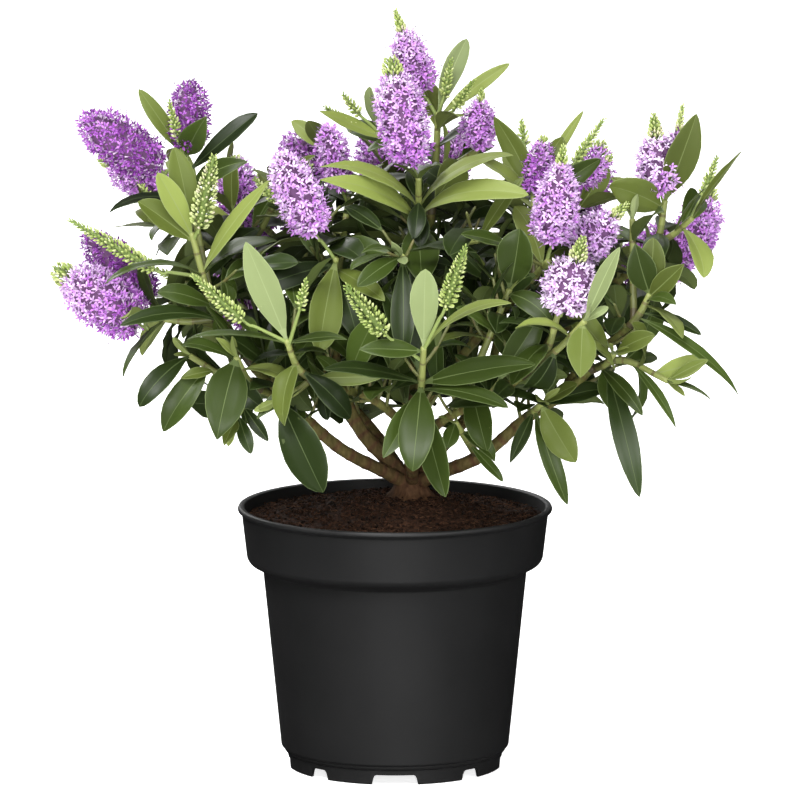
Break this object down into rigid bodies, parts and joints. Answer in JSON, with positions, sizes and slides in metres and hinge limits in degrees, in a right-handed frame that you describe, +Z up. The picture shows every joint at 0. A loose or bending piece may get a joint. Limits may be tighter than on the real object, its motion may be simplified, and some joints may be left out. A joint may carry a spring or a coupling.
{
  "type": "potted hebe shrub in flower",
  "caption": "Bushy hebe shrub with paired leathery leaves and violet and lilac flower spikes, growing in a round plastic nursery pot.",
  "frame": {"origin": "on the ground, under the middle of the pot and of the crown", "axes": "+Z up; the side that the picture shows faces -Y; +X to its right"},
  "size_m": [0.4095, 0.3185, 0.455],
  "materials": {
    "pot_plastic": "satin black",
    "peat": "fibrous, moist",
    "bark": "smooth brown bark, green on young stems",
    "foliage": "leathery leaves with a soft gloss"
  },
  "bodies": {
    "root": {"pot": "pot_plastic", "soil": "peat", "stem_base": "bark", "bough_left": "bark", "bough_left_low": "bark", "bough_upper_left": "bark", "bough_left_back": "bark", "bough_top": "bark", "bough_top_back": "bark", "bough_upper_right": "bark", "bough_front": "bark", "bough_front_left": "bark", "bough_centre_right": "bark", "bough_right": "bark", "bough_right_upper": "bark", "bough_back_left": "bark", "bough_back_left_upper": "bark", "bough_back": "bark", "bough_back_upper": "bark", "bough_back_right": "bark", "bough_back_right_upper": "bark", "bough_far_right": "bark", "bough_right_back": "bark", "foliage_front": "foliage", "foliage_front_left": "foliage", "foliage_upper_left": "foliage", "foliage_top": "foliage", "foliage_top_back": "foliage", "foliage_left": "foliage", "foliage_left_low": "foliage", "foliage_left_back": "foliage", "foliage_centre": "foliage", "foliage_centre_right": "foliage", "foliage_right_low": "foliage", "foliage_right_inner": "foliage", "foliage_right_foot": "foliage", "foliage_right": "foliage", "foliage_far_right": "foliage", "foliage_upper_right": "foliage", "foliage_back_left_low": "foliage", "foliage_back_left": "foliage", "foliage_back_low": "foliage", "foliage_back": "foliage", "foliage_back_right_low": "foliage", "foliage_back_right": "foliage", "foliage_right_back": "foliage"}
  },
  "joints": []
}
